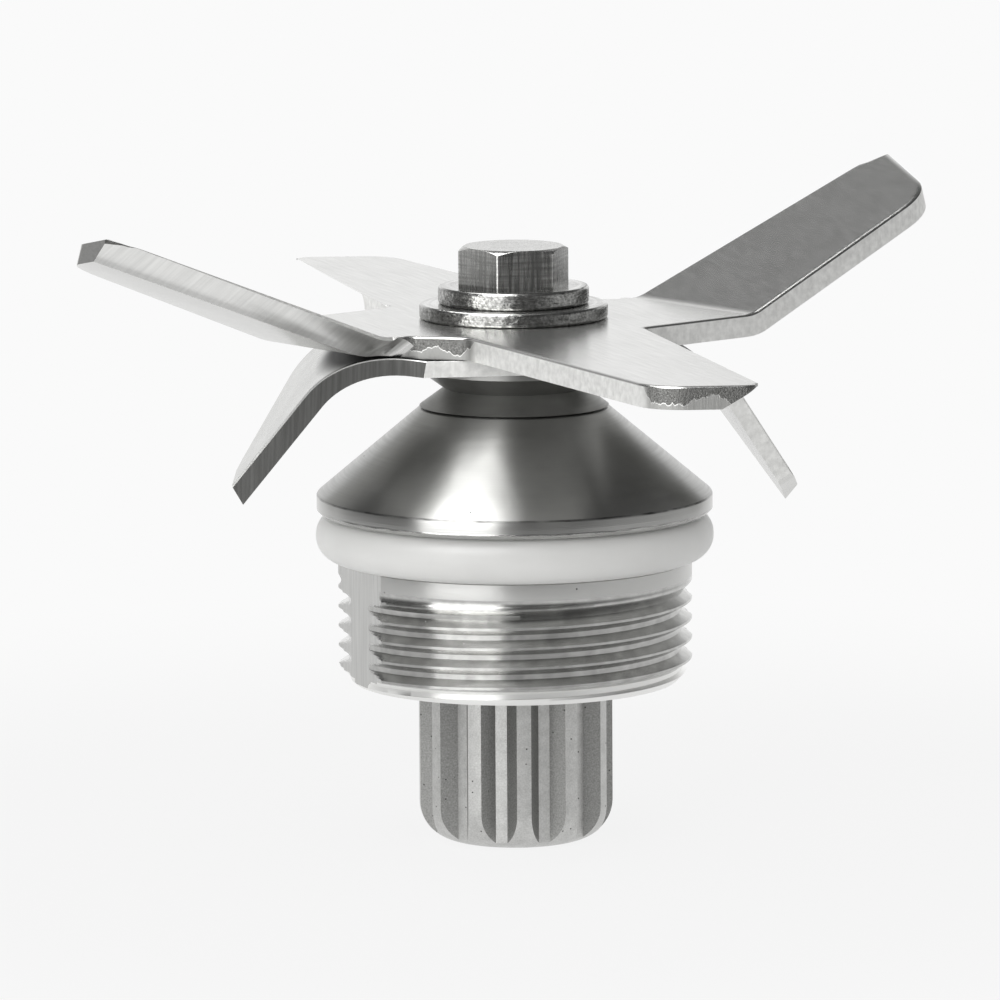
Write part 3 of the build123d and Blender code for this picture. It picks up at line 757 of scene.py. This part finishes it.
# Housing: turned stainless. Lines round the axis stretch every highlight up and down the cone.
housingLook = {
    # the base tone, which the cone keeps, is darker than the threads, band and rim: painted shade where the
    # cone mirrors the dark room and the blades above
    "tones": ("#9C9C9A", "#A6A6A4"), "patch": 5.0, "rough": (0.33, 0.43), "depth": 0.0008, "turned": True,
    "grain": (9.0, 9.0, 0.16),       # mm; the real feed lines are about half as wide and wouldn't show
    "anisotropy": 0.9, "anisotropyTurn": 0.25,
    "thread": (17.9, 27.2), "threadTones": ("#ACACAA", "#C6C6C4"), "threadRough": 0.25, "grime": 1.5,
    "footPaintedLightTone": "#EEEEEC", "footRough": 0.34,
    "rim": (33.6, 35.5), "rimTone": "#B2B2B0", "rimRough": 0.3, "rimLines": (14.0, 14.0, 0.22),
    "rimRelief": 0.01,
    "nickBand": (33.6, 34.2), "nicks": (1.6, 1.6, 0.35), "nickRough": 0.25, "nickRelief": 0.05,
    "edgeLineBand": (35.4, 35.6), "edgeLine": (3.0, 3.0, 0.6), "edgeLineTone": "#2E2E2D", "edgeLineRough": 0.3,
    "plainBand": (27.2, 29.0), "bandTone": "#CACAC8", "bandRough": 0.4, "scuffs": (1.4, 1.4, 0.5),
    "scuffRelief": 0.008,
    "flatFrom": 16.69, "flatTop": 29.0, "flatTones": ("#B6B6B4", "#CACAC8"), "flatRough": 0.38,
    "milled": (3.0, 0.3, 6.0), "milledRelief": 0.003,
    "pitCell": 1.5, "pitRadius": 0.09, "pitShare": 0.07, "pitTone": "#3A3A39", "pitRough": 0.5,
    "pitDepth": 0.03,
}


def makeTurnedStainless(look):
    layers = startLook("turnedStainless", look)
    tree, shader = layers["tree"], layers["shader"]
    spot = mmSpot(tree)
    axes = addNode(tree, "SeparateXYZ", {"Vector": spot}).outputs
    shader.inputs["Anisotropic"].default_value = look["anisotropy"]
    shader.inputs["Anisotropic Rotation"].default_value = look["anisotropyTurn"]
    around = addNode(tree, "Tangent", direction_type="RADIAL", axis="Z")
    tree.links.new(around.outputs[0], shader.inputs["Tangent"])

    # oil and dirt dull the threads, and the chamfer at the foot is painted near white: painted reflection of
    # the white table below
    thread = band(tree, axes["Z"], *look["thread"], 0.05)
    grime = cloud(tree, spot, [look["grime"]] * 3)
    lay(layers, thread, look["threadTones"], grime, look["threadRough"])
    foot = band(tree, axes["Z"], 0, look["thread"][0], 0.05)
    lay(layers, foot, look["footPaintedLightTone"], None, look["footRough"])

    # the tool tore the rim's lower edge here and there, and a broken dark line is painted along the edge
    # between rim and cone
    rim = band(tree, axes["Z"], *look["rim"], 0.03)
    lines = cloud(tree, turnedSpot(tree), look["rimLines"])
    lay(layers, rim, look["rimTone"], None, look["rimRough"], (lines, look["rimRelief"]))
    lowerEdge = band(tree, axes["Z"], *look["nickBand"], 0.08)
    nicks = cloud(tree, spot, look["nicks"], 4.0)
    lay(layers, lowerEdge, rough=look["nickRough"], relief=(nicks, look["nickRelief"]))
    upperEdge = band(tree, axes["Z"], *look["edgeLineBand"], 0.03)
    edgeLine = addNode(tree, "Math", {0: upperEdge, 1: cloud(tree, spot, look["edgeLine"])}, operation="MULTIPLY")
    lay(layers, edgeLine, look["edgeLineTone"], None, look["edgeLineRough"])

    plainBand = band(tree, axes["Z"], *look["plainBand"], 0.03)
    scuffs = cloud(tree, spot, look["scuffs"], 4.0)
    lay(layers, plainBand, look["bandTone"], None, look["bandRough"], (scuffs, look["scuffRelief"]))

    # the two flats are milled
    side = addNode(tree, "Math", {0: axes["X"]}, operation="ABSOLUTE")
    flat = addNode(tree, "Math", {0: side, 1: look["flatFrom"]}, operation="GREATER_THAN")
    low = addNode(tree, "Math", {0: axes["Z"], 1: look["flatTop"]}, operation="LESS_THAN")
    flat = addNode(tree, "Math", {0: flat, 1: low}, operation="MULTIPLY")
    milled = cloud(tree, spot, look["milled"])
    lay(layers, flat, look["flatTones"], milled, look["flatRough"], (milled, look["milledRelief"]))

    spots = pits(tree, spot, look["pitCell"], look["pitRadius"], look["pitShare"])
    layPits(layers, spots, look["pitTone"], look["pitRough"], look["pitDepth"])
    return endLook(layers)


dress(threadedHousing, makeTurnedStainless(housingLook))


# Gasket: moulded white silicone. Light sinks in a little, so its shading is soft; the skin has a satin shine.
gasketLook = {
    "tones": ("#DFDFDD", "#E4E4E2"), "patch": 6.0, "grain": (1.0, 1.0, 1.0), "rough": (0.32, 0.42),
    "depth": 0.003, "ior": 1.41, "subsurface": 0.3, "sinkDepth": 1.2,      # mm
    "dustCell": 2.5, "dustRadius": 0.1, "dustShare": 0.2, "dustTone": "#D2D2D0", "dustRough": 0.6,
}


def makeSilicone(look):
    layers = startLook("whiteSilicone", look, 0.0)
    tree, shader = layers["tree"], layers["shader"]
    shader.inputs["IOR"].default_value = look["ior"]
    shader.inputs["Subsurface Weight"].default_value = look["subsurface"]
    shader.inputs["Subsurface Radius"].default_value = (1.0, 1.0, 1.0)
    shader.inputs["Subsurface Scale"].default_value = look["sinkDepth"] * mm
    dust = pits(tree, mmSpot(tree), look["dustCell"], look["dustRadius"], look["dustShare"])
    lay(layers, dust, look["dustTone"], None, look["dustRough"])
    return endLook(layers)


dress(nodes["jar_gasket"], makeSilicone(gasketLook))


# Pinion: pressed and sintered iron. Pores break the surface, so it is rough and mottled, and the tooth flanks
# are painted darker than the lands and groove bottoms: painted shade between the teeth.
pinionLook = {
    "tones": ("#B4B4B2", "#CCCCCA"), "patch": 1.1, "grain": (0.18, 0.18, 0.5), "rough": (0.34, 0.46),
    "depth": 0.004,
    "powder": 0.16,                  # mm; real powder grains are about 0.1 and wouldn't show
    "powderTones": ("#A0A09E", "#DADAD8"), "powderShare": 0.4,
    "flankLean": (2.4, 4.2),         # mm, lever of the face's normal about the axis
    "flankShadeTones": ("#868684", "#A6A6A4"), "flankRough": 0.48,
    "poreCell": 0.8, "poreRadius": 0.08, "poreShare": 0.25, "poreTone": "#5A5A58", "poreRough": 0.7,
    "poreDepth": 0.05,
}


def makeSinteredIron(look):
    layers = startLook("sinteredIron", look)
    tree = layers["tree"]
    spot = mmSpot(tree)
    powder = cloud(tree, spot, [look["powder"]] * 3)
    lay(layers, look["powderShare"], look["powderTones"], powder)
    facing = addNode(tree, "TexCoord").outputs["Normal"]
    lever = addNode(tree, "VectorMath", {0: spot, 1: facing}, operation="CROSS_PRODUCT")
    lean = addNode(tree, "Math", {0: addNode(tree, "SeparateXYZ", {"Vector": lever}).outputs["Z"]},
                   operation="ABSOLUTE")
    low, high = look["flankLean"]
    flank = addNode(tree, "MapRange", {"Value": lean, "From Min": low, "From Max": high})
    # painted shade on the tooth flanks between the teeth
    lay(layers, flank, look["flankShadeTones"], powder, look["flankRough"])
    pores = pits(tree, spot, look["poreCell"], look["poreRadius"], look["poreShare"])
    layPits(layers, pores, look["poreTone"], look["poreRough"], look["poreDepth"])
    return endLook(layers)


dress(nodes["drive_pinion"], makeSinteredIron(pinionLook))


# Bolt: cold-forged stainless. Drawing marks run up the flats and rolling marks cross them.
boltLook = {
    "tones": ("#B4B4B2", "#C8C8C6"), "patch": 2.0, "grain": (0.25, 0.25, 4.0), "rough": (0.2, 0.34),
    "depth": 0.004,
    "crossLines": (4.0, 4.0, 0.22), "crossRelief": 0.004, "crossTones": ("#8A8A88", "#DADAD8"),
    "flatRise": 0.3,
}


def makeForgedStainless(look):
    layers = startLook("forgedStainless", look)
    tree = layers["tree"]
    cross = cloud(tree, mmSpot(tree), look["crossLines"], 2.0)
    hatch = addNode(tree, "Math", {0: cross, 1: layers["grain"]}, operation="MULTIPLY")
    flats = band(tree, normalRise(tree), -look["flatRise"], look["flatRise"], 0.05)
    lay(layers, flats, look["crossTones"], hatch, None, (cross, look["crossRelief"]))
    return endLook(layers)


dress(hexBolt, makeForgedStainless(boltLook))


# Washers: stamped stainless, tumbled. The rim is lumpy, so its highlight breaks up.
washerLook = {
    "tones": ("#B2B2B0", "#C6C6C4"), "patch": 1.5, "turned": True, "grain": (6.0, 6.0, 0.2),
    "rough": (0.16, 0.3), "depth": 0.002,
    "rimRise": (-0.9, 0.6), "lumps": (1.1, 1.1, 0.45), "lumpRelief": 0.06,
    "grit": 0.3, "gritTones": ("#6C6C6A", "#BABAB8"),
}


def makeStampedStainless(look):
    layers = startLook("stampedStainless", look)
    tree = layers["tree"]
    spot = mmSpot(tree)
    rim = band(tree, normalRise(tree), *look["rimRise"], 0.1)
    lumps = cloud(tree, spot, look["lumps"], 4.0)
    grit = cloud(tree, spot, [look["grit"]] * 3)
    lay(layers, rim, look["gritTones"], grit, None, (lumps, look["lumpRelief"]))
    return endLook(layers)


stampedStainless = makeStampedStainless(washerLook)
dress(nodes["upper_washer"], stampedStainless)
dress(nodes["lower_washer"], stampedStainless)

# Steel of the other pieces: tone, sheen and line width differ
plainSteels = {
    # turned and blasted: grey, with a soft shine
    "satinCollarSteel": {
        "nodes": ["shaft_collar"], "tones": ("#8C8C8A", "#989896"), "patch": 3.0, "turned": True,
        "grain": (8.0, 8.0, 0.25), "rough": (0.34, 0.44), "depth": 0.002},
    # ground between centres: bright, with fine rings
    "groundShaftSteel": {
        "nodes": ["drive_shaft", "bearing_spacer_inner", "bearing_spacer_outer"],
        "tones": ("#BEBEBC", "#CACAC8"), "patch": 4.0, "turned": True,
        "grain": (6.0, 6.0, 0.12), "rough": (0.16, 0.26), "depth": 0.0008},
    # ground and lapped: close to a mirror
    "groundBearingSteel": {
        "nodes": ["upper_bearing_inner_ring", "lower_bearing_inner_ring", "upper_bearing_outer_ring",
                  "lower_bearing_outer_ring", "upper_bearing_balls", "lower_bearing_balls"],
        "tones": ("#C6C6C5", "#D0D0CF"), "patch": 3.0, "turned": True,
        "grain": (9.0, 9.0, 0.1), "rough": (0.07, 0.14), "depth": 0.0004},
    # cold-rolled strip, pressed: dull, with a faint grain
    "pressedSheetSteel": {
        "nodes": ["upper_bearing_shields", "lower_bearing_shields", "shaft_seal_case"],
        "tones": ("#A4A4A2", "#B6B6B4"), "patch": 2.5,
        "grain": (0.4, 5.0, 0.4), "rough": (0.26, 0.38), "depth": 0.001},
    # hardened and oiled: nearly black, with a patchy shine
    "oiledSpringSteel": {
        "nodes": ["bearing_circlip", "shaft_seal_spring"], "tones": ("#3A3A3C", "#56565A"), "patch": 1.5,
        "grain": (0.4, 0.4, 0.4), "rough": (0.3, 0.45), "depth": 0.003},
}
for steelName, steelLook in plainSteels.items():
    steel = endLook(startLook(steelName, steelLook))
    for nodeName in steelLook["nodes"]:
        dress(nodes[nodeName], steel)

softLooks = {
    # moulded bearing cage: cream, light sinks in a little
    "naturalNylon": {
        "nodes": ["upper_bearing_cage", "lower_bearing_cage"], "tones": ("#DAD4C0", "#E4DFCE"), "patch": 3.0,
        "grain": (0.5, 0.5, 0.5), "rough": (0.4, 0.5), "depth": 0.003, "ior": 1.53, "subsurface": 0.2,
        "sinkDepth": 0.8},
    # moulded seal lip: black and matt
    "nitrileRubber": {
        "nodes": ["shaft_seal_lip"], "tones": ("#1A1A1A", "#262626"), "patch": 2.0,
        "grain": (0.3, 0.3, 0.3), "rough": (0.5, 0.65), "depth": 0.006, "ior": 1.52, "subsurface": 0.0,
        "sinkDepth": 0.8},
}
for softName, softLook in softLooks.items():
    softLayers = startLook(softName, softLook, 0.0)
    softShader = softLayers["shader"]
    softShader.inputs["IOR"].default_value = softLook["ior"]
    softShader.inputs["Subsurface Weight"].default_value = softLook["subsurface"]
    softShader.inputs["Subsurface Scale"].default_value = softLook["sinkDepth"] * mm
    soft = endLook(softLayers)
    for nodeName in softLook["nodes"]:
        dress(nodes[nodeName], soft)
print("all pieces dressed")
